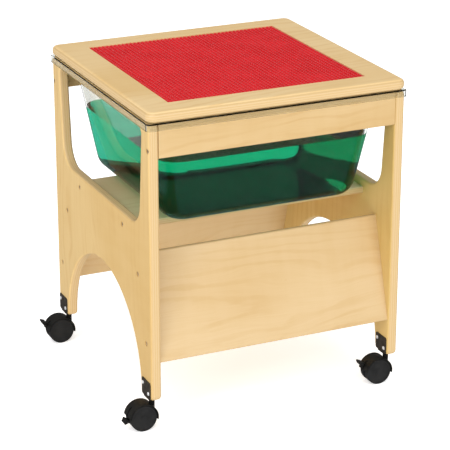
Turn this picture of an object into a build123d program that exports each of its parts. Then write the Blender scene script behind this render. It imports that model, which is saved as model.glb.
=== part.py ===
from build123d import *
import math
import os

os.makedirs("parts", exist_ok=True)

# A child's sand and water table: a plywood frame on four braked casters, a clear tub that hangs in it,
# and a lift-off lid with a building plate. Millimetres. +X is to the right along the front, -Y is the
# front, +Z is up and the floor is z = 0. Everything is drawn about the middle of the frame, and moved
# at the end so that the origin is the middle of the whole footprint, casters included.

# ---------------------------------------------------------------- driving dimensions
HEIGHT = 600.0  # floor to the lid's top face
FRAME_W = 498.0  # across the outer faces of the side panels
FRAME_D = 478.0  # front to back edge of a side panel
PLY = 19.0  # side panels, slanted panels and lid
THIN_PLY = 12.7  # aprons and shelf
EDGE_R = 5.0  # rounded edges of the side panels
THIN_EDGE_R = 3.5  # rounded edges of the boards between them

LID_W = 502.0
LID_D = 486.0
LID_CORNER_R = 16.0
LID_EDGE_R = 8.0
PLATE_SIDE = 384.0  # 48 studs at 8 mm
PLATE_T = 1.6
RECESS_DEPTH = 3.6
RECESS_GAP = 0.6

WALL = 3.0  # the tub's plastic
LIP_DROP = 10.0
LIP_GAP = 1.0  # between the lip and the frame
LIP_CORNER_R = 9.0
TUB_CLEAR_OF_SHELF = 7.5
TUB_HALF_W = 189.5  # outside of the walls, carried down to the tub's floor
TUB_HALF_D = 187.5
TUB_CORNER_R = 47.0
TUB_FLOOR_R = 33.0
TUB_DRAFT = 9.4  # degrees that the walls lean outwards
TUB_RIM_R = 2.5

LEG_BOTTOM = 60.0
ARCH_R = 187.0
LEG_CORNER_R = 10.0
TOP_CORNER_R = 8.0
RAIL_H = 13.0  # strip of side panel above the window
WINDOW_BOTTOM = 378.0
WINDOW_TOP_HALF = 204.0
WINDOW_BOTTOM_HALF = 187.5
WINDOW_BOTTOM_R = 45.0
WINDOW_TOP_R = 13.0

APRON_H = 62.0
APRON_INSET = 0.5  # from the edges of the side panels
APRON_SCREW_Z = 531.0
SHELF_TOP = 362.0
SHELF_HALF_D = 127.0
SHELF_SCREW_Y = 108.0
SLANT = 16.6  # degrees from upright, top edge inwards
SLANT_LENGTH = 200.0
SLANT_TOP_Y = 178.0  # outer top edge of a slanted panel, from the middle
SLANT_TOP_Z = 324.0
SLANT_SCREWS = (37.5, 162.5)  # down the panel from its top edge

SCREW_HEAD_R = 5.0
SCREW_HEAD_T = 2.6
SCREW_SHANK_R = 2.8
SCREW_LENGTH = 46.0
SCREW_SUNK = 1.6
SOCKET_ACROSS = 5.0
SOCKET_DEPTH = 1.6

STEM_IN = 25.0  # caster stem to the front or back edge of the leg
WHEEL_R = 25.0
WHEEL_T = 12.0
WHEEL_GAP = 6.6  # between the two wheels of a caster
WHEEL_EDGE_R = 2.5
WHEEL_INNER_R = 1.0
DISH_RIM = 4.0  # left standing round the shallow dish in a wheel's face
DISH_DEPTH = 0.8
HUB_WALL = 3.5
HUB_RISE = 0.5
HUB_CAP = 2.2  # plastic that closes the bore
TRAIL = 20.5  # stem axis to axle
AXLE_R = 3.0
AXLE_END_PLAY = 0.3
AXLE_CHAMFER = 0.5
RUNNING_FIT = 0.05
STEM_R = 3.5
STEM_FOOT = 44.0
STEM_TOP = 95.0
STEM_CHAMFER = 0.8
STEM_END_PLAY = 0.5
COLLAR_R = 5.0
COLLAR_PLAY = 0.3
BOSS_R = 5.3
BOSS_TOP = 56.0
HOOD_R = 27.8
HOOD_WALL = 2.1
HOOD_HALF_W = 15.7
HOOD_FROM = -10.0  # degrees round the axle where the hood starts and ends
HOOD_TO = 172.0
WEB_HALF_T = 2.9
WEB_HUB_WALL = 4.0
WHEEL_CLEARANCE = 0.7

PIVOT_X = -19.0  # brake lever pin, from the axle
PIVOT_Z = 10.0
PIN_R = 1.5
LEVER_HALF_T = 1.7
LEVER_UP = 148.7  # degrees round the pin of a raised lever
LEVER_TRAVEL = 82.0
LEVER_EYE_R = 4.0
LEVER_ARM = 17.0
LEVER_ARM_H = 5.0
LEVER_SLOT = (-14.0, 20.5)  # heights of the slot in the hood, from the axle
LEVER_SLOT_PAST_PIN = 7.0
LEVER_SIDE_PLAY = 0.2
PEDAL_HALF_W = 8.0
PEDAL_EDGE_R = 0.8
PEDAL = ((14.5, -4.5), (14.5, 2.6), (17.5, 3.2), (23.8, -1.0), (22.8, -3.0))  # from the pin

STEEL = 1.5
BRACKET_W = 39.0
BRACKET_BOTTOM = 62.0
BRACKET_TOP = 94.0
BRACKET_CORNER_R = 4.0
TONGUE_W = 21.0  # of the bracket's foot, bent under the leg
TONGUE_END = 7.0  # past the stem's axis
BEND_R = 2.0
BRACKET_SCREW_Z = (84.5, 72.0)
BRACKET_SCREW_Y = (13.5, -12.0)
BRACKET_SCREW_R = 1.75
BRACKET_HEAD_R = 3.5
BRACKET_HEAD_T = 1.8
BRACKET_SCREW_LENGTH = 12.0
CROSS_SLOT = (4.8, 0.8, 0.7)  # length, width and depth of a cross slot's arms

# ---------------------------------------------------------------- worked-out places
LID_BOTTOM = HEIGHT - PLY
FRAME_TOP = LID_BOTTOM - WALL
WINDOW_TOP = FRAME_TOP - RAIL_H
INNER_X = FRAME_W / 2 - PLY
SPAN = 2 * INNER_X
LEG_MID_X = FRAME_W / 2 - PLY / 2
STEM_Y = FRAME_D / 2 - STEM_IN
TUB_BOTTOM = SHELF_TOP + TUB_CLEAR_OF_SHELF
CORNERS = {
    "front_left": (-LEG_MID_X, -STEM_Y),
    "front_right": (LEG_MID_X, -STEM_Y),
    "back_left": (-LEG_MID_X, STEM_Y),
    "back_right": (LEG_MID_X, STEM_Y),
}
PRESSED = {"front_left"}  # this caster's brake is on

nodes = {}


def block(x0, x1, y0, y1, z0, z1):
    """A box between two corners."""
    middle = Pos((x0 + x1) / 2, (y0 + y1) / 2, (z0 + z1) / 2)
    return middle * Box(x1 - x0, y1 - y0, z1 - z0)


def rod(radius, start, end):
    """A round bar along Z between two heights."""
    return Pos(0, 0, (start + end) / 2) * Cylinder(radius, end - start)


# ---------------------------------------------------------------- screws
def panel_screw():
    """A socket-head screw along -X, with its head's face on x = 0."""
    head = rod(SCREW_HEAD_R, -SCREW_HEAD_T, 0)
    shank = rod(SCREW_SHANK_R, -SCREW_LENGTH, -SCREW_HEAD_T)
    hexagon = RegularPolygon(SOCKET_ACROSS / 2, 6, major_radius=False)
    socket = extrude(hexagon, -SOCKET_DEPTH)
    return Rot(0, 90, 0) * (head + shank - socket)


def slant_screw_places():
    """Where the slanted panels are screwed, in the middle of the board's thickness."""
    angle = math.radians(SLANT)
    places = []
    for down in SLANT_SCREWS:
        y = SLANT_TOP_Y - PLY / 2 * math.cos(angle) + down * math.sin(angle)
        z = SLANT_TOP_Z - PLY / 2 * math.sin(angle) - down * math.cos(angle)
        places.append((y, z))
    return places


def screw_places():
    """(y, z) of the eight screws of one side panel."""
    apron_y = FRAME_D / 2 - APRON_INSET - THIN_PLY / 2
    half = [(apron_y, APRON_SCREW_Z), (SHELF_SCREW_Y, SHELF_TOP - THIN_PLY / 2)]
    half += slant_screw_places()
    return [(side * y, z) for side in (-1, 1) for y, z in half]


def panel_screws(side):
    """The eight screws of the left (side -1) or right (side 1) panel."""
    turn = Rot(0, 0, 0 if side > 0 else 180)
    x = side * (FRAME_W / 2 - SCREW_SUNK)
    return [Pos(x, y, z) * turn * panel_screw() for y, z in screw_places()]


def screw_wells(side):
    """The sunk holes that the screw heads lie in, out to the panel's face and the shanks' holes."""
    turn = Rot(0, 90, 0)
    low = FRAME_W / 2 - SCREW_SUNK - SCREW_HEAD_T
    wells = []
    for y, z in screw_places():
        head = Pos(0, y, z) * turn * rod(SCREW_HEAD_R, low, FRAME_W / 2 + 1)
        shank = Pos(0, y, z) * turn * rod(SCREW_SHANK_R, low - SCREW_LENGTH + SCREW_HEAD_T, low)
        wells += [head, shank]
    if side < 0:
        wells = [Rot(0, 0, 180) * well for well in wells]
    return wells


# ---------------------------------------------------------------- frame
def window():
    """The side panel's window, wider at the top, drawn as (y, z)."""
    shape = make_face(
        Polyline(
            (-WINDOW_BOTTOM_HALF, WINDOW_BOTTOM),
            (WINDOW_BOTTOM_HALF, WINDOW_BOTTOM),
            (WINDOW_TOP_HALF, WINDOW_TOP),
            (-WINDOW_TOP_HALF, WINDOW_TOP),
            close=True,
        )
    )
    low_to_high = shape.vertices().sort_by(Axis.Y)
    shape = fillet(low_to_high[:2], WINDOW_BOTTOM_R)
    return fillet(shape.vertices().sort_by(Axis.Y)[-2:], WINDOW_TOP_R)


def side_outline():
    """The side panel's outline with its arch, drawn as (y, z)."""
    middle_z = (LEG_BOTTOM + FRAME_TOP) / 2
    shape = Pos(0, middle_z) * Rectangle(FRAME_D, FRAME_TOP - LEG_BOTTOM)
    shape -= Pos(0, LEG_BOTTOM) * Circle(ARCH_R)
    feet = shape.vertices().group_by(Axis.Y)[0]
    shape = fillet(feet, LEG_CORNER_R)
    return fillet(shape.vertices().group_by(Axis.Y)[-1], TOP_CORNER_R)


def side_panel(side):
    """A side panel with rounded edges all round, its window and arch too."""
    face = side_outline() - window()
    start = INNER_X if side > 0 else -FRAME_W / 2
    panel = extrude(Plane.YZ.offset(start) * face, PLY)
    rims = panel.faces().filter_by(Axis.X).edges()
    return fillet(rims, EDGE_R)


def round_long_edges(board, radius):
    """Round the four edges of a board that run along X."""
    return fillet(board.edges().filter_by(Axis.X), radius)


def apron(side):
    """The rail that closes the front (side -1) or back (side 1) under the flange."""
    outer = side * (FRAME_D / 2 - APRON_INSET)
    inner = outer - side * THIN_PLY
    low, high = sorted((outer, inner))
    board = block(-INNER_X, INNER_X, low, high, FRAME_TOP - APRON_H, FRAME_TOP)
    return round_long_edges(board, THIN_EDGE_R)


def shelf():
    board = block(-INNER_X, INNER_X, -SHELF_HALF_D, SHELF_HALF_D, SHELF_TOP - THIN_PLY, SHELF_TOP)
    return round_long_edges(board, THIN_EDGE_R)


def slanted_panel(side):
    """The lower front (side -1) or back (side 1) panel, its top leaning inwards."""
    board = block(-INNER_X, INNER_X, 0, PLY, -SLANT_LENGTH, 0)
    board = round_long_edges(board, THIN_EDGE_R)
    placed = Pos(0, -SLANT_TOP_Y, SLANT_TOP_Z) * Rot(-SLANT, 0, 0) * board
    return placed if side < 0 else Rot(0, 0, 180) * placed


# ---------------------------------------------------------------- lid
def lid_board():
    outline = RectangleRounded(LID_W, LID_D, LID_CORNER_R)
    board = extrude(Pos(0, 0, LID_BOTTOM) * outline, PLY)
    rims = board.faces().filter_by(Axis.Z).edges()
    board = fillet(rims, LID_EDGE_R)
    half = PLATE_SIDE / 2 + RECESS_GAP
    return board - block(-half, half, -half, half, HEIGHT - RECESS_DEPTH, HEIGHT + 1)


def building_plate():
    half = PLATE_SIDE / 2
    low = HEIGHT - RECESS_DEPTH
    plate = block(-half, half, -half, half, low, low + PLATE_T)
    return fillet(plate.edges().filter_by(Axis.Z), 2.0)


# ---------------------------------------------------------------- tub
def tub_form(inset):
    """The tub's solid shape, inset from its outer surface by the given amount."""
    low = TUB_BOTTOM + inset
    outline = Rectangle(2 * (TUB_HALF_W - inset), 2 * (TUB_HALF_D - inset))
    form = extrude(Pos(0, 0, low) * outline, LID_BOTTOM - low, taper=-TUB_DRAFT)
    corners = [edge for edge in form.edges() if abs(edge.tangent_at(0).Z) > 0.5]
    form = fillet(corners, TUB_CORNER_R - inset)
    floor = form.faces().sort_by(Axis.Z)[0].edges()
    return fillet(floor, TUB_FLOOR_R - inset)


def tub():
    """An open tub with a flange on the frame's top edges and a lip turned down outside them."""
    half_w = FRAME_W / 2 + LIP_GAP
    half_d = FRAME_D / 2 + LIP_GAP
    outer = RectangleRounded(2 * (half_w + WALL), 2 * (half_d + WALL), LIP_CORNER_R)
    inner = RectangleRounded(2 * half_w, 2 * half_d, LIP_CORNER_R - WALL)
    cap = extrude(Pos(0, 0, FRAME_TOP - LIP_DROP) * outer, LIP_DROP + WALL)
    cap = fillet(cap.faces().sort_by(Axis.Z)[-1].edges(), TUB_RIM_R)
    cap -= extrude(Pos(0, 0, FRAME_TOP - LIP_DROP - 1) * inner, LIP_DROP + 1)
    return cap + tub_form(0) - tub_form(WALL)


# ---------------------------------------------------------------- casters
# A caster is drawn about its own stem: the stem's axis is x = y = 0, the floor is z = 0 and the wheels
# trail towards -X.
AXLE = Pos(-TRAIL, 0, WHEEL_R)


def bracket():
    """A steel plate on the -X face of the foot, with a tongue bent under it that the stem passes."""
    outer = PLY / 2 + STEEL
    side = BRACKET_W / 2
    plate = block(-outer, -PLY / 2, -side, side, BRACKET_BOTTOM, BRACKET_TOP)
    plate = fillet(plate.edges().filter_by(Axis.X), BRACKET_CORNER_R)
    side = TONGUE_W / 2
    tongue = block(-outer, TONGUE_END, -side, side, LEG_BOTTOM - STEEL, BRACKET_BOTTOM + BEND_R)
    bend = tongue.edges().filter_by(Axis.Y).group_by(Axis.Z)[0].sort_by(Axis.X)[0]
    tongue = fillet(bend, BEND_R)
    tongue -= block(-PLY / 2, TONGUE_END + 1, -side - 1, side + 1, LEG_BOTTOM, BRACKET_TOP)
    whole = plate + tongue - rod(STEM_R, 0, BRACKET_TOP)
    for screw in bracket_screws():
        whole -= screw
    return whole


def bracket_screws():
    """The two cross-slotted pan-head screws that hold a bracket to the leg."""
    length, width, depth = CROSS_SLOT
    head = rod(BRACKET_HEAD_R, 0, BRACKET_HEAD_T)
    head = fillet(head.faces().sort_by(Axis.Z)[-1].edges(), BRACKET_HEAD_T * 0.7)
    for x, y in ((length / 2, width / 2), (width / 2, length / 2)):
        head -= block(-x, x, -y, y, BRACKET_HEAD_T - depth, BRACKET_HEAD_T)
    screw = Rot(0, -90, 0) * (head + rod(BRACKET_SCREW_R, -BRACKET_SCREW_LENGTH, 0))
    places = zip(BRACKET_SCREW_Y, BRACKET_SCREW_Z)
    return [Pos(-PLY / 2 - STEEL, y, z) * screw for y, z in places]


def stem():
    """The pin that the caster turns on, let into the leg, with a collar under the bracket."""
    pin = rod(STEM_R, STEM_FOOT, STEM_TOP)
    pin = chamfer(pin.edges().group_by(Axis.Z)[0], STEM_CHAMFER)
    return pin + rod(COLLAR_R, BOSS_TOP + COLLAR_PLAY, LEG_BOTTOM - STEEL)


def upright(shape, half_width):
    """Extrude a shape drawn in X and Z about the axle, equally to both sides."""
    return AXLE * extrude(Plane.XZ * shape, half_width, both=True)


def polar(radius, degrees):
    angle = math.radians(degrees)
    return (radius * math.cos(angle), radius * math.sin(angle))


def below_hood():
    """The part round the axle that the hood leaves open, as a face."""
    far = 2 * HOOD_R
    points = [(0, 0), polar(far, HOOD_TO), (-far, -far), (far, -far), polar(far, HOOD_FROM)]
    return make_face(Polyline(*points, close=True))


def hood():
    """A fender over both wheels, the web between them, and the boss that turns on the stem."""
    fender = Circle(HOOD_R) - Circle(HOOD_R - HOOD_WALL) - below_hood()
    web = Circle(HOOD_R - HOOD_WALL / 2) - below_hood() + Circle(AXLE_R + WEB_HUB_WALL)
    body = upright(web, WEB_HALF_T) + rod(BOSS_R, WHEEL_R, BOSS_TOP)
    middle_y = (WEB_HALF_T + HOOD_HALF_W) / 2
    drum = Rot(90, 0, 0) * Cylinder(WHEEL_R + WHEEL_CLEARANCE, HOOD_HALF_W - WEB_HALF_T)
    for side in (-1, 1):
        body -= AXLE * Pos(0, side * middle_y, 0) * drum
    body += upright(fender, HOOD_HALF_W)
    half = LEVER_HALF_T + LEVER_SIDE_PLAY
    slot = block(-HOOD_R - 1, PIVOT_X + LEVER_SLOT_PAST_PIN, -half, half, *LEVER_SLOT)
    body -= AXLE * slot
    body -= rod(STEM_R + RUNNING_FIT, STEM_FOOT - STEM_END_PLAY, BOSS_TOP + 1)
    body -= AXLE * Rot(90, 0, 0) * Cylinder(AXLE_R, HOOD_R)
    body -= AXLE * Pos(PIVOT_X, 0, PIVOT_Z) * Rot(90, 0, 0) * Cylinder(PIN_R, HOOD_R / 2)
    return body


def axle():
    half = WHEEL_GAP / 2 + WHEEL_T - HUB_CAP - AXLE_END_PLAY
    pin = Rot(90, 0, 0) * Cylinder(AXLE_R, 2 * half)
    return AXLE * chamfer(pin.edges(), AXLE_CHAMFER)


def wheel(side):
    """The wheel on the front (side -1) or back (side 1) of a caster, with a blind bore."""
    disc = rod(WHEEL_R, 0, WHEEL_T)
    disc = fillet(disc.edges().group_by(Axis.Z)[-1], WHEEL_EDGE_R)
    disc = fillet(disc.edges().group_by(Axis.Z)[0], WHEEL_INNER_R)
    dish = WHEEL_T - DISH_DEPTH
    disc -= rod(WHEEL_R - DISH_RIM, dish, WHEEL_T + 1)
    disc += rod(AXLE_R + HUB_WALL, dish, dish + HUB_RISE)
    disc -= rod(AXLE_R + RUNNING_FIT, -1, WHEEL_T - HUB_CAP)
    turned = Pos(0, side * WHEEL_GAP / 2, 0) * Rot(-90 * side, 0, 0) * disc
    return AXLE * turned


def brake_lever(pressed):
    """A lever on a pin between the wheels, with a wide pedal outside the hood."""
    arm = Circle(LEVER_EYE_R) + Pos(LEVER_ARM / 2, 0) * Rectangle(LEVER_ARM, LEVER_ARM_H)
    arm -= Circle(PIN_R + RUNNING_FIT)
    pedal = make_face(Polyline(*PEDAL, close=True))
    pedal = fillet(pedal.vertices(), PEDAL_EDGE_R)
    lever = extrude(Plane.XZ * arm, LEVER_HALF_T, both=True)
    lever += extrude(Plane.XZ * pedal, PEDAL_HALF_W, both=True)
    angle = LEVER_UP + (LEVER_TRAVEL if pressed else 0)
    return AXLE * Pos(PIVOT_X, 0, PIVOT_Z) * Rot(0, -angle, 0) * lever


def lever_pin():
    return AXLE * Pos(PIVOT_X, 0, PIVOT_Z) * Rot(90, 0, 0) * Cylinder(PIN_R, 2 * WEB_HALF_T)


def add_caster(corner, x, y):
    """The nine nodes of one caster, at the foot of one leg."""
    here = Pos(x, y, 0)
    nodes[corner + "_caster_bracket"] = here * bracket()
    nodes[corner + "_bracket_screws"] = [here * screw for screw in bracket_screws()]
    nodes[corner + "_caster_stem"] = here * stem()
    nodes[corner + "_caster_hood"] = here * hood()
    nodes[corner + "_caster_axle"] = here * axle()
    nodes[corner + "_wheel_front"] = here * wheel(-1)
    nodes[corner + "_wheel_rear"] = here * wheel(1)
    nodes[corner + "_brake_lever"] = here * brake_lever(corner in PRESSED)
    nodes[corner + "_lever_pin"] = here * lever_pin()


def leg_cuts(side):
    """The holes in the feet of one side panel, for its two stems and four bracket screws."""
    cuts = []
    for x, y in CORNERS.values():
        if x * side > 0:
            cuts.append(Pos(x, y, 0) * rod(STEM_R, 0, STEM_TOP))
            cuts += [Pos(x, y, 0) * screw for screw in bracket_screws()]
    return cuts


# ---------------------------------------------------------------- assembly
left_wells = screw_wells(-1)
right_wells = screw_wells(1)

nodes["side_panel_left"] = side_panel(-1) - left_wells - leg_cuts(-1)
nodes["side_panel_right"] = side_panel(1) - right_wells - leg_cuts(1)
nodes["front_apron"] = apron(-1) - left_wells - right_wells
nodes["back_apron"] = apron(1) - left_wells - right_wells
nodes["shelf"] = shelf() - left_wells - right_wells
nodes["front_panel"] = slanted_panel(-1) - left_wells - right_wells
nodes["back_panel"] = slanted_panel(1) - left_wells - right_wells
nodes["side_screws_left"] = panel_screws(-1)
nodes["side_screws_right"] = panel_screws(1)
nodes["tub"] = tub()
nodes["lid_board"] = lid_board()
nodes["building_plate"] = building_plate()
for corner, (stem_x, stem_y) in CORNERS.items():
    add_caster(corner, stem_x, stem_y)

# The levers all stand out on one side, so the footprint's middle is not the frame's middle.
whole = Compound(children=[Compound(solid.solids()) for shape in nodes.values()
                           for solid in (shape if isinstance(shape, list) else [shape])])
box = whole.bounding_box()
SHIFT_X = -(box.min.X + box.max.X) / 2

for name, shape in nodes.items():
    pieces = shape if isinstance(shape, list) else [shape]
    solids = [solid for piece in pieces for solid in piece.solids()]
    placed = [Pos(SHIFT_X, 0, 0) * solid for solid in solids]
    export_step(placed[0] if len(placed) == 1 else Compound(placed), "parts/" + name + ".step")
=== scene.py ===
import math

import bmesh
import bpy
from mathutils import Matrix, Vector


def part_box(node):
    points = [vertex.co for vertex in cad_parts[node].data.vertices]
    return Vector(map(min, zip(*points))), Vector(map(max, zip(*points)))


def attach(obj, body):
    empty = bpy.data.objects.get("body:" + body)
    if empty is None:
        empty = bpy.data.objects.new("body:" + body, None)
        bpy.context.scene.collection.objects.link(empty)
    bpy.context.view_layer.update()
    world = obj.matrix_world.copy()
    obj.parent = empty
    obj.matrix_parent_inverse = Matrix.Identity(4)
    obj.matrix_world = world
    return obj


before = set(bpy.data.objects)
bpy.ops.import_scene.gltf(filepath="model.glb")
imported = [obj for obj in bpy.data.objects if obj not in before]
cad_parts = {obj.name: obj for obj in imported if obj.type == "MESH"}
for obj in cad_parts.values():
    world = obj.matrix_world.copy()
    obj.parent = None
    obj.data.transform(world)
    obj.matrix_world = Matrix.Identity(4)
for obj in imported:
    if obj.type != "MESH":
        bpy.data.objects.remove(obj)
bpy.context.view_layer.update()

# The looks of a plywood sand and water table: lacquered maple-faced boards, a clear tub with green
# water, a red building plate with its studs, and black casters. Metres, in the frame's own axes.
MM = 0.001

# ---------------------------------------------------------------- sizes
STUDS = 48  # along each side of the building plate
STUD_R = 2.45 * MM
STUD_H = 1.7 * MM
STUD_SIDES = 14
STUD_BEVEL = 0.22 * MM
STUD_SUNK = 0.3 * MM

WATER_LEVEL = 122.5 * MM  # above the tub's underside
WATER_OVERLAP = 0.25 * MM  # into the tub's wall, so that no film of air lies between them
TOUCHING = 0.01 * MM  # points closer than this are one
SURFACE_CORNERS = 8  # a face with at least so many is the water's flat surface

SLANT = math.radians(16.6)  # of the lower panels, from upright

# ---------------------------------------------------------------- camera
LENS = 157.46  # mm, on a sensor 36 mm wide
LENS_SHIFT = (0.0024, -0.0296)  # in sensor widths
CAMERA_PLACE = (-1.4508, -3.1821, 1.0027)  # from the middle of the lid's top; Y from the origin
PITCH_DOWN = math.radians(20.364)
YAW = math.radians(-24.524)  # it stands left of the front and looks to its right

# ---------------------------------------------------------------- colours, as linear light
# Each board's veneer tone, with painted light in two of them: the back panel and the shelf are
# painted lighter to offset the shade they stand in under the tub.
VENEER_WITH_PAINTED_LIGHT = {
    "lid_board": (0.86, 0.62, 0.30),
    "front_apron": (0.64, 0.45, 0.215),
    "back_apron": (0.64, 0.45, 0.215),
    "side_panel_left": (0.70, 0.485, 0.200),
    "side_panel_right": (0.67, 0.47, 0.170),
    "front_panel": (0.655, 0.475, 0.25),
    # painted light: these two are lighter than the veneer, to offset the shade under the tub
    "back_panel": (0.74, 0.56, 0.31),
    "shelf": (0.78, 0.60, 0.35),
}
PLY_EDGE = (0.66, 0.47, 0.235)  # the layers, seen on every sawn edge
DUST = (0.10, 0.095, 0.09)
FLOOR = (0.93, 0.93, 0.93)
FLOOR_REACH = 30.0  # metres from the middle to each side
SKY = 0.70
REFLECTED_SKY = 0.20  # dark flags round the set keep its glare off the lid and the tub
# Both indices are lower than the real ones: wall and water meet as two surfaces, which together
# reflect too much.
TUB_IOR = 1.24
WATER_IOR = 1.22
DYE = (0.04, 0.960, 0.918)
DYE_DENSITY = 24.0
FLOOR_GLOW = 0.5  # a lit sweep, which leaves no more than a breath of shadow


# ---------------------------------------------------------------- node trees
# A Mix node's sockets share their names, so its colour sockets are found by their numbers.
MIX_COLOUR_A, MIX_COLOUR_B, MIX_COLOUR_OUT = 6, 7, 2


class Tree:
    """A material and short calls that add nodes to it."""

    def __init__(self, name):
        self.material = bpy.data.materials.new(name)
        self.material.use_nodes = True
        self.nodes = self.material.node_tree.nodes
        self.links = self.material.node_tree.links
        self.nodes.clear()
        self.out = self.nodes.new("ShaderNodeOutputMaterial")
        self.shader = self.nodes.new("ShaderNodeBsdfPrincipled")
        self.links.new(self.shader.outputs[0], self.out.inputs["Surface"])

    def put(self, socket, value):
        """Link or set one input."""
        if isinstance(value, bpy.types.NodeSocket):
            self.links.new(value, socket)
        elif isinstance(value, tuple) and len(value) == 3 and socket.type == "RGBA":
            socket.default_value = (*value, 1)
        else:
            socket.default_value = value

    def set(self, **values):
        """Set the shader's inputs, by name with _ for a space."""
        for name, value in values.items():
            self.put(self.shader.inputs[name.replace("_", " ")], value)

    def math(self, operation, first, second=0.0, third=0.0):
        node = self.nodes.new("ShaderNodeMath")
        node.operation = operation
        for socket, value in zip(node.inputs, (first, second, third)):
            self.put(socket, value)
        return node.outputs[0]

    def place(self):
        """The point's place in its object's own axes."""
        return self.nodes.new("ShaderNodeTexCoord").outputs["Object"]

    def mapped(self, vector, scale=(1, 1, 1), turn=(0, 0, 0)):
        node = self.nodes.new("ShaderNodeMapping")
        self.links.new(vector, node.inputs["Vector"])
        node.inputs["Scale"].default_value = scale
        node.inputs["Rotation"].default_value = turn
        return node.outputs[0]

    def split(self, vector):
        node = self.nodes.new("ShaderNodeSeparateXYZ")
        self.links.new(vector, node.inputs[0])
        return dict(zip("XYZ", node.outputs))

    def joined(self, x, y, z):
        node = self.nodes.new("ShaderNodeCombineXYZ")
        for socket, value in zip(node.inputs, (x, y, z)):
            self.put(socket, value)
        return node.outputs[0]

    def noise(self, vector, scale=1.0, detail=2.0, roughness=0.5):
        node = self.nodes.new("ShaderNodeTexNoise")
        self.links.new(vector, node.inputs["Vector"])
        node.inputs["Scale"].default_value = scale
        node.inputs["Detail"].default_value = detail
        node.inputs["Roughness"].default_value = roughness
        return node.outputs[0]

    def ramp(self, value, low, high, start=0.0, end=1.0):
        """start below low, end above high, smooth between."""
        node = self.nodes.new("ShaderNodeMapRange")
        node.interpolation_type = "SMOOTHSTEP"
        self.put(node.inputs["Value"], value)
        limits = {"From Min": low, "From Max": high, "To Min": start, "To Max": end}
        for name, number in limits.items():
            node.inputs[name].default_value = number
        return node.outputs[0]

    def mix(self, share, first, second):
        node = self.nodes.new("ShaderNodeMix")
        node.data_type = "RGBA"
        self.put(node.inputs["Factor"], share)
        self.put(node.inputs[MIX_COLOUR_A], first)
        self.put(node.inputs[MIX_COLOUR_B], second)
        return node.outputs[MIX_COLOUR_OUT]

    def bump(self, height, depth, strength=1.0, normal=None):
        node = self.nodes.new("ShaderNodeBump")
        node.inputs["Strength"].default_value = strength
        node.inputs["Distance"].default_value = depth
        self.links.new(height, node.inputs["Height"])
        if normal is not None:
            self.links.new(normal, node.inputs["Normal"])
        return node.outputs[0]

    def lets_lamps_through(self, tint):
        """Be transparent to shadow rays, so that lamps reach what lies behind the clear piece."""
        path = self.nodes.new("ShaderNodeLightPath")
        clear = self.nodes.new("ShaderNodeBsdfTransparent")
        clear.inputs["Color"].default_value = (*tint, 1)
        mixed = self.nodes.new("ShaderNodeMixShader")
        self.links.new(path.outputs["Is Shadow Ray"], mixed.inputs[0])
        self.links.new(self.shader.outputs[0], mixed.inputs[1])
        self.links.new(clear.outputs[0], mixed.inputs[2])
        self.links.new(mixed.outputs[0], self.out.inputs["Surface"])


# ---------------------------------------------------------------- wood
SEED_STEP = 1.7  # metres between two boards' places in the noise
WANDER = 0.075  # metres that the fibres stray sideways
ARCH_TIP = 0.0006  # square metres, which rounds the tip of the arches
RINGS_ACROSS = 52.0  # a metre
RINGS_ALONG = 3.1  # a metre
RING_LOOSENESS = 1.4  # in rings
FACE_PLY = 1.6  # thickness of a face, in half layers
FIGURE_SHARE = 0.45
FIBRE_SHARE = 0.22
PAINTED_SHEEN_SHARE = 0.16
FLECK_SHARE = 0.35
SAWN_SHARE = 0.18
GLUE_SHARE = 0.22


def scaled(colour, factors):
    return tuple(min(1.0, c * k) for c, k in zip(colour, factors))


def extent(node, turn):
    """The lowest and highest corners of a node in axes turned about X."""
    cos, sin = math.cos(turn), math.sin(turn)
    points = [v.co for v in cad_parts[node].data.vertices]
    turned = [(p.x, p.y * cos - p.z * sin, p.y * sin + p.z * cos) for p in points]
    low = tuple(min(values) for values in zip(*turned))
    high = tuple(max(values) for values in zip(*turned))
    return low, high


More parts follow.
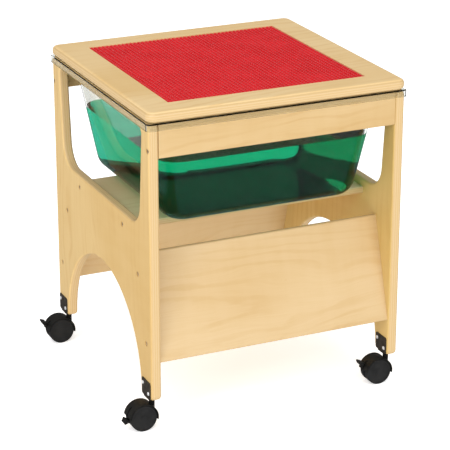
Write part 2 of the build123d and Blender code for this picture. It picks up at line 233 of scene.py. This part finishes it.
def plywood(node, grain, thick, plies, seed, turn=0.0, heart=0.0):
    """Lacquered plywood: a faced sheet with its grain along one axis and its layers on the edges.

    heart is how far from the board's middle, across the grain, its arched figure is centred.
    """
    t = Tree("plywood_" + node)
    tone = VENEER_WITH_PAINTED_LIGHT[node]
    low, high = extent(node, turn)
    place = t.mapped(t.place(), turn=(turn, 0, 0))
    axes = t.split(place)
    broad = ({"X", "Y", "Z"} - {grain, thick}).pop()
    middle = {axis: (a + b) / 2 for axis, a, b in zip("XYZ", low, high)}
    half = {axis: (b - a) / 2 for axis, a, b in zip("XYZ", low, high)}
    along = t.math("ADD", axes[grain], seed * SEED_STEP)
    across = t.math("SUBTRACT", axes[broad], middle[broad] + heart)
    deep = t.math("DIVIDE", t.math("SUBTRACT", axes[thick], middle[thick]), half[thick])
    side = t.math("MULTIPLY", t.math("SIGN", deep), 3.0 + seed)  # the two faces differ

    def drawn(long_scale, lateral, lateral_scale, detail, roughness=0.5):
        """Noise stretched along the grain; the scales are repeats per metre."""
        x = t.math("MULTIPLY", along, long_scale)
        y = t.math("MULTIPLY", lateral, lateral_scale)
        return t.noise(t.joined(x, y, side), 1.0, detail, roughness)

    # slow wander of the fibres, then the arched figure of a flat-cut sheet
    slow = drawn(3.0, across, 9.0, 2.0)
    wander = t.math("MULTIPLY", t.math("SUBTRACT", slow, 0.5), WANDER)
    bent = t.math("ADD", across, wander)
    arch = t.math("SQRT", t.math("MULTIPLY_ADD", bent, bent, ARCH_TIP))
    rings = t.math(
        "ADD", t.math("MULTIPLY", arch, RINGS_ACROSS), t.math("MULTIPLY", along, RINGS_ALONG)
    )
    loose = drawn(9.0, bent, 40.0, 3.0)
    rings = t.math("ADD", rings, t.math("MULTIPLY", loose, RING_LOOSENESS))
    wave = t.math("SINE", t.math("MULTIPLY", rings, 2 * math.pi))
    late = t.ramp(wave, 0.1, 1.0)  # the narrow dark line of each ring
    patch = drawn(5.0, across, 14.0, 2.0)
    figure = t.math("MULTIPLY", late, t.ramp(patch, 0.36, 0.66, 0.12, 1.0))

    # fibres, short flecks, and the curl's sheen across the grain, painted into the colour as
    # lighter bands
    fibre = drawn(14.0, bent, 620.0, 4.0, 0.6)
    fleck = drawn(90.0, bent, 1300.0, 2.0)
    flecks = t.ramp(fleck, 0.66, 0.78)
    painted_curl_sheen = drawn(38.0, across, 7.0, 2.0)
    cloud = drawn(2.2, across, 5.0, 3.0)

    pale = scaled(tone, (1.06, 1.08, 1.14))
    deeper = scaled(tone, (0.93, 0.87, 0.74))
    line = scaled(tone, (0.86, 0.74, 0.55))
    colour = t.mix(t.ramp(cloud, 0.30, 0.72), pale, deeper)
    colour = t.mix(t.math("MULTIPLY", figure, FIGURE_SHARE), colour, line)
    colour = t.mix(t.ramp(fibre, 0.30, 0.75, 0.0, FIBRE_SHARE), colour, line)
    # painted sheen: the curl's shimmer, as lighter bands mixed into the colour
    colour = t.mix(t.ramp(painted_curl_sheen, 0.35, 0.70, 0.0, PAINTED_SHEEN_SHARE), colour, pale)
    colour = t.mix(t.math("MULTIPLY", flecks, FLECK_SHARE), colour, line)

    # the layers between the two faces, every other one cut across its fibres
    layer = t.math("MULTIPLY", t.math("ADD", deep, 1.0), plies / 2)
    inside = t.math("LESS_THAN", t.math("ABSOLUTE", deep), 1 - FACE_PLY / plies)
    turned = t.math("PINGPONG", t.math("FLOOR", layer), 1.0)
    rough = t.noise(place, 900.0, 3.0, 0.7)
    long_grain = scaled(PLY_EDGE, (1.03, 1.05, 1.10))
    end_grain = scaled(PLY_EDGE, (0.97, 0.93, 0.84))
    ply = t.mix(turned, long_grain, end_grain)
    ply = t.mix(t.ramp(rough, 0.40, 0.70, 0.0, SAWN_SHARE), ply, line)
    to_glue = t.math("ABSOLUTE", t.math("SUBTRACT", t.math("FRACT", layer), 0.5))
    ply = t.mix(t.ramp(to_glue, 0.42, 0.50, 0.0, GLUE_SHARE), ply, line)
    colour = t.mix(inside, colour, ply)

    height = t.math("ADD", fibre, t.math("MULTIPLY", flecks, -0.6))
    edge_height = t.math("MULTIPLY", rough, 1.6)
    height = t.math("ADD", height, t.math("MULTIPLY", inside, edge_height))
    roughness = t.ramp(cloud, 0.3, 0.7, 0.34, 0.44)
    roughness = t.math("ADD", roughness, t.math("MULTIPLY", inside, 0.12))
    t.set(Base_Color=colour, Roughness=roughness, IOR=1.5, Coat_Weight=0.22, Coat_Roughness=0.18)
    t.set(Normal=t.bump(height, 0.05 * MM, 0.6))
    return t.material


# ---------------------------------------------------------------- plastics, water and metals
def red_plastic():
    """Glossy moulded plastic with a faint unevenness."""
    t = Tree("red_plastic")
    place = t.place()
    uneven = t.noise(place, 24.0, 3.0)
    fine = t.noise(place, 700.0, 2.0)
    colour = t.mix(t.ramp(uneven, 0.3, 0.7), (0.70, 0.014, 0.020), (0.76, 0.018, 0.026))
    t.set(Base_Color=colour, Roughness=t.ramp(uneven, 0.3, 0.7, 0.22, 0.31), IOR=1.53)
    t.set(Coat_Weight=0.15, Coat_Roughness=0.08, Normal=t.bump(fine, 0.03 * MM, 0.4))
    return t.material


def clear_plastic():
    """Clear moulded plastic with the slight waviness and the fine scuffs of a large tub."""
    t = Tree("clear_plastic")
    place = t.place()
    wavy = t.noise(place, 9.0, 1.0)
    scuffs = t.noise(t.mapped(place, scale=(60, 60, 9)), 1.0, 5.0, 0.7)
    t.set(Base_Color=(0.80, 0.815, 0.795), Transmission_Weight=1.0, IOR=TUB_IOR, Roughness=0.0)
    waves = t.bump(wavy, 1.2 * MM, 0.25)
    t.set(Normal=t.bump(scuffs, 0.02 * MM, 0.3, waves))
    t.lets_lamps_through((0.96, 0.965, 0.955))
    return t.material


def green_water():
    """Dyed water: green at its skin, and deeper the more of it the light has passed."""
    t = Tree("green_water")
    ripple = t.noise(t.place(), 16.0, 2.0, 0.4)
    t.set(Base_Color=(0.06, 0.62, 0.41), Transmission_Weight=1.0, IOR=WATER_IOR, Roughness=0.0)
    t.set(Normal=t.bump(ripple, 1.0 * MM, 0.35))
    t.lets_lamps_through((0.96, 0.97, 0.93))
    dye = t.nodes.new("ShaderNodeVolumeAbsorption")
    dye.inputs["Color"].default_value = (*DYE, 1)
    dye.inputs["Density"].default_value = DYE_DENSITY
    t.links.new(dye.outputs[0], t.out.inputs["Volume"])
    return t.material


def black_nylon(name, dark, light, rough, grain):
    """Moulded nylon with a fine spark-eroded texture."""
    t = Tree(name)
    place = t.place()
    texture = t.noise(place, grain, 3.0, 0.6)
    cloud = t.noise(place, 60.0, 3.0)
    colour = t.mix(t.ramp(cloud, 0.35, 0.7), dark, light)
    dust = t.ramp(texture, 0.62, 0.80, 0.0, 0.12)
    colour = t.mix(dust, colour, DUST)
    t.set(Base_Color=colour, Roughness=t.ramp(cloud, 0.3, 0.7, rough - 0.05, rough + 0.07))
    t.set(IOR=1.5, Specular_IOR_Level=0.2, Normal=t.bump(texture, 0.08 * MM, 0.5))
    return t.material


def steel(name, bright, dull, rough, metal):
    """Plated or blackened sheet steel, with rolling marks and dull patches."""
    t = Tree(name)
    place = t.place()
    patches = t.noise(place, 110.0, 4.0, 0.6)
    marks = t.noise(t.mapped(place, scale=(2500, 2500, 160)), 1.0, 3.0)
    colour = t.mix(t.ramp(patches, 0.35, 0.70), bright, dull)
    t.set(Base_Color=colour, Metallic=metal, IOR=1.5)
    t.set(Roughness=t.ramp(patches, 0.3, 0.75, rough - 0.06, rough + 0.14))
    t.set(Normal=t.bump(marks, 0.02 * MM, 0.4))
    return t.material


# ---------------------------------------------------------------- pieces that only Blender has
def piece(name, mesh, material, body):
    made = bpy.data.objects.new(name, mesh)
    bpy.context.scene.collection.objects.link(made)
    made.data.materials.append(material)
    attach(made, body)


def plate_studs(material):
    """The building plate's studs, each a closed button with a small bevel, let into the plate."""
    low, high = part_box("building_plate")
    pitch = (high.x - low.x) / STUDS
    rings = (
        (STUD_R, high.z - STUD_SUNK),
        (STUD_R, high.z + STUD_H - STUD_BEVEL),
        (STUD_R - STUD_BEVEL, high.z + STUD_H),
    )
    turn = [2 * math.pi * i / STUD_SIDES for i in range(STUD_SIDES)]
    around = [(math.cos(a), math.sin(a)) for a in turn]
    points = []
    faces = []
    for row in range(STUDS):
        for column in range(STUDS):
            x = low.x + (column + 0.5) * pitch
            y = low.y + (row + 0.5) * pitch
            first = len(points)
            for radius, z in rings:
                points += [(x + radius * c, y + radius * s, z) for c, s in around]
            for step in (0, STUD_SIDES):
                for i in range(STUD_SIDES):
                    j = (i + 1) % STUD_SIDES
                    a, b = first + step + i, first + step + j
                    faces.append((a, b, b + STUD_SIDES, a + STUD_SIDES))
            faces.append(tuple(first + 2 * STUD_SIDES + i for i in range(STUD_SIDES)))
            faces.append(tuple(first + i for i in reversed(range(STUD_SIDES))))
    mesh = bpy.data.meshes.new("plate_studs")
    mesh.from_pydata(points, [], faces)
    mesh.polygons.foreach_set("use_smooth", [len(face) == 4 for face in faces])
    mesh.update()
    piece("plate_studs", mesh, material, "lid")


def tub_water(material):
    """The water, made from the tub's inner faces up to its level, and closed by its surface."""
    low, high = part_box("tub")
    inside = Vector(((low.x + high.x) / 2, (low.y + high.y) / 2, high.z))
    level = low.z + WATER_LEVEL
    work = bmesh.new()
    work.from_mesh(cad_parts["tub"].data)
    outer = [f for f in work.faces if f.normal.dot(inside - f.calc_center_median()) <= 0]
    bmesh.ops.delete(work, geom=outer, context="FACES")
    everything = work.verts[:] + work.edges[:] + work.faces[:]
    bmesh.ops.bisect_plane(
        work, geom=everything, plane_co=(0, 0, level), plane_no=(0, 0, 1), clear_outer=True
    )
    bmesh.ops.remove_doubles(work, verts=work.verts[:], dist=TOUCHING)
    for vert in work.verts:
        if vert.co.z < level - TOUCHING:
            vert.co -= vert.normal * WATER_OVERLAP
    rim = [e for e in work.edges if e.is_boundary]
    bmesh.ops.edgeloop_fill(work, edges=rim)
    bmesh.ops.recalc_face_normals(work, faces=work.faces[:])
    for face in work.faces:
        face.smooth = len(face.verts) < SURFACE_CORNERS
    mesh = bpy.data.meshes.new("tub_water")
    work.to_mesh(mesh)
    work.free()
    piece("tub_water", mesh, material, "tub")


# ---------------------------------------------------------------- dress the frame
def dress(node, material):
    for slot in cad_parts[node].material_slots:
        slot.material = material


BOARDS = {
    # node: grain, thickness, plies, seed, turn about X, heart of the figure
    "lid_board": ("X", "Z", 9, 0.3, 0.0, 0.16),
    "front_apron": ("X", "Y", 7, 1.1, 0.0, 0.10),
    "back_apron": ("X", "Y", 7, 1.9, 0.0, -0.08),
    "side_panel_left": ("Z", "X", 9, 2.6, 0.0, 0.05),
    "side_panel_right": ("Z", "X", 9, 3.4, 0.0, -0.06),
    "front_panel": ("X", "Y", 9, 4.2, SLANT, -0.03),
    "back_panel": ("X", "Y", 9, 5.1, -SLANT, 0.04),
    "shelf": ("X", "Z", 7, 6.3, 0.0, 0.02),
}
for board, (grain, thick, plies, seed, turn, heart) in BOARDS.items():
    dress(board, plywood(board, grain, thick, plies, seed, turn, heart))

red = red_plastic()
dress("building_plate", red)
plate_studs(red)
dress("tub", clear_plastic())
tub_water(green_water())

STEELS = {
    # finish: name, bright, dull, roughness, metallic
    "bracket": ("blackened_steel", (0.060, 0.047, 0.033), (0.036, 0.028, 0.019), 0.46, 0.35),
    "bracket_screws": ("zinc_plate", (0.88, 0.88, 0.88), (0.76, 0.76, 0.76), 0.32, 0.35),
    "stem": ("turned_steel", (0.32, 0.31, 0.30), (0.20, 0.19, 0.18), 0.34, 1.0),
    # side screws: both colours are darker and greyer than the plating, painted shade standing for
    # the shade in their sunk wells
    "side_screws": ("yellow_zinc_painted_shade", (0.52, 0.42, 0.32), (0.30, 0.22, 0.15), 0.36, 0.40),
}
NYLONS = {
    # finish: name, dark, light, roughness, grains a metre
    "nylon": ("black_nylon", (0.010, 0.010, 0.009), (0.016, 0.015, 0.013), 0.42, 2600.0),
    "tread": ("black_tread", (0.016, 0.016, 0.016), (0.022, 0.022, 0.022), 0.50, 3400.0),
}
finishes = {finish: steel(*values) for finish, values in STEELS.items()}
finishes |= {finish: black_nylon(*values) for finish, values in NYLONS.items()}
ENDINGS = {
    "_caster_bracket": "bracket",
    "_bracket_screws": "bracket_screws",
    "_caster_stem": "stem",
    "_caster_axle": "stem",
    "_lever_pin": "stem",
    "_caster_hood": "nylon",
    "_brake_lever": "nylon",
    "_wheel_front": "tread",
    "_wheel_rear": "tread",
    "side_screws_left": "side_screws",
    "side_screws_right": "side_screws",
}
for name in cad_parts:
    for ending, finish in ENDINGS.items():
        if name.endswith(ending):
            dress(name, finishes[finish])


# ---------------------------------------------------------------- studio
def floor():
    mesh = bpy.data.meshes.new("floor")
    signs = ((-1, -1), (1, -1), (1, 1), (-1, 1))
    corners = [(FLOOR_REACH * x, FLOOR_REACH * y, 0) for x, y in signs]
    mesh.from_pydata(corners, [], [(0, 1, 2, 3)])
    made = bpy.data.objects.new("floor", mesh)
    bpy.context.scene.collection.objects.link(made)
    t = Tree("floor")
    faint = t.noise(t.place(), 3.0, 2.0)
    shade = scaled(FLOOR, (0.985, 0.985, 0.985))
    t.set(Base_Color=t.mix(faint, FLOOR, shade), Roughness=0.9, Specular_IOR_Level=0.2)
    t.set(Emission_Color=(1, 1, 1), Emission_Strength=FLOOR_GLOW)
    mesh.materials.append(t.material)
    made.visible_glossy = False


def aimed(made, place, target):
    made.location = place
    made.rotation_euler = (Vector(target) - Vector(place)).to_track_quat("-Z", "Y").to_euler()
    bpy.context.scene.collection.objects.link(made)


def softbox(name, place, target, width, height, power):
    light = bpy.data.lights.new(name, "AREA")
    light.shape = "RECTANGLE"
    light.size = width
    light.size_y = height
    light.energy = power
    aimed(bpy.data.objects.new(name, light), place, target)


def soft_sun(name, place, strength, spread):
    light = bpy.data.lights.new(name, "SUN")
    light.energy = strength
    light.angle = math.radians(spread)
    aimed(bpy.data.objects.new(name, light), place, (0, 0, 0))


def studio():
    world = bpy.data.worlds.new("studio")
    world.use_nodes = True
    sky = world.node_tree.nodes["Background"]
    sky.inputs["Color"].default_value = (1, 1, 1, 1)
    path = world.node_tree.nodes.new("ShaderNodeLightPath")
    dimmed = world.node_tree.nodes.new("ShaderNodeMath")
    dimmed.operation = "MULTIPLY_ADD"
    dimmed.inputs[1].default_value = REFLECTED_SKY - SKY
    dimmed.inputs[2].default_value = SKY
    world.node_tree.links.new(path.outputs["Is Glossy Ray"], dimmed.inputs[0])
    world.node_tree.links.new(dimmed.outputs[0], sky.inputs["Strength"])
    bpy.context.scene.world = world
    soft_sun("key", (-1.4, -2.6, 4.2), 1.10, 50)
    softbox("left_box", (-2.6, -1.6, 1.5), (0, 0, 0.4), 0.9, 1.8, 20)
    softbox("front_box", (1.0, -3.4, 1.9), (0, 0, 0.4), 1.2, 1.8, 14)


def camera():
    """The photographer's place, measured from the middle of the lid's top face."""
    low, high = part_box("lid_board")
    data = bpy.data.cameras.new("camera")
    data.sensor_width = 36.0
    data.lens = LENS
    data.shift_x, data.shift_y = LENS_SHIFT
    data.clip_end = 200.0
    made = bpy.data.objects.new("camera", data)
    middle_x = (low.x + high.x) / 2
    right, back, up = CAMERA_PLACE
    made.location = (middle_x + right, back, high.z + up)
    made.rotation_euler = (math.pi / 2 - PITCH_DOWN, 0.0, YAW)
    bpy.context.scene.collection.objects.link(made)
    bpy.context.scene.camera = made


floor()
studio()
camera()
bpy.context.scene.view_settings.view_transform = "Standard"
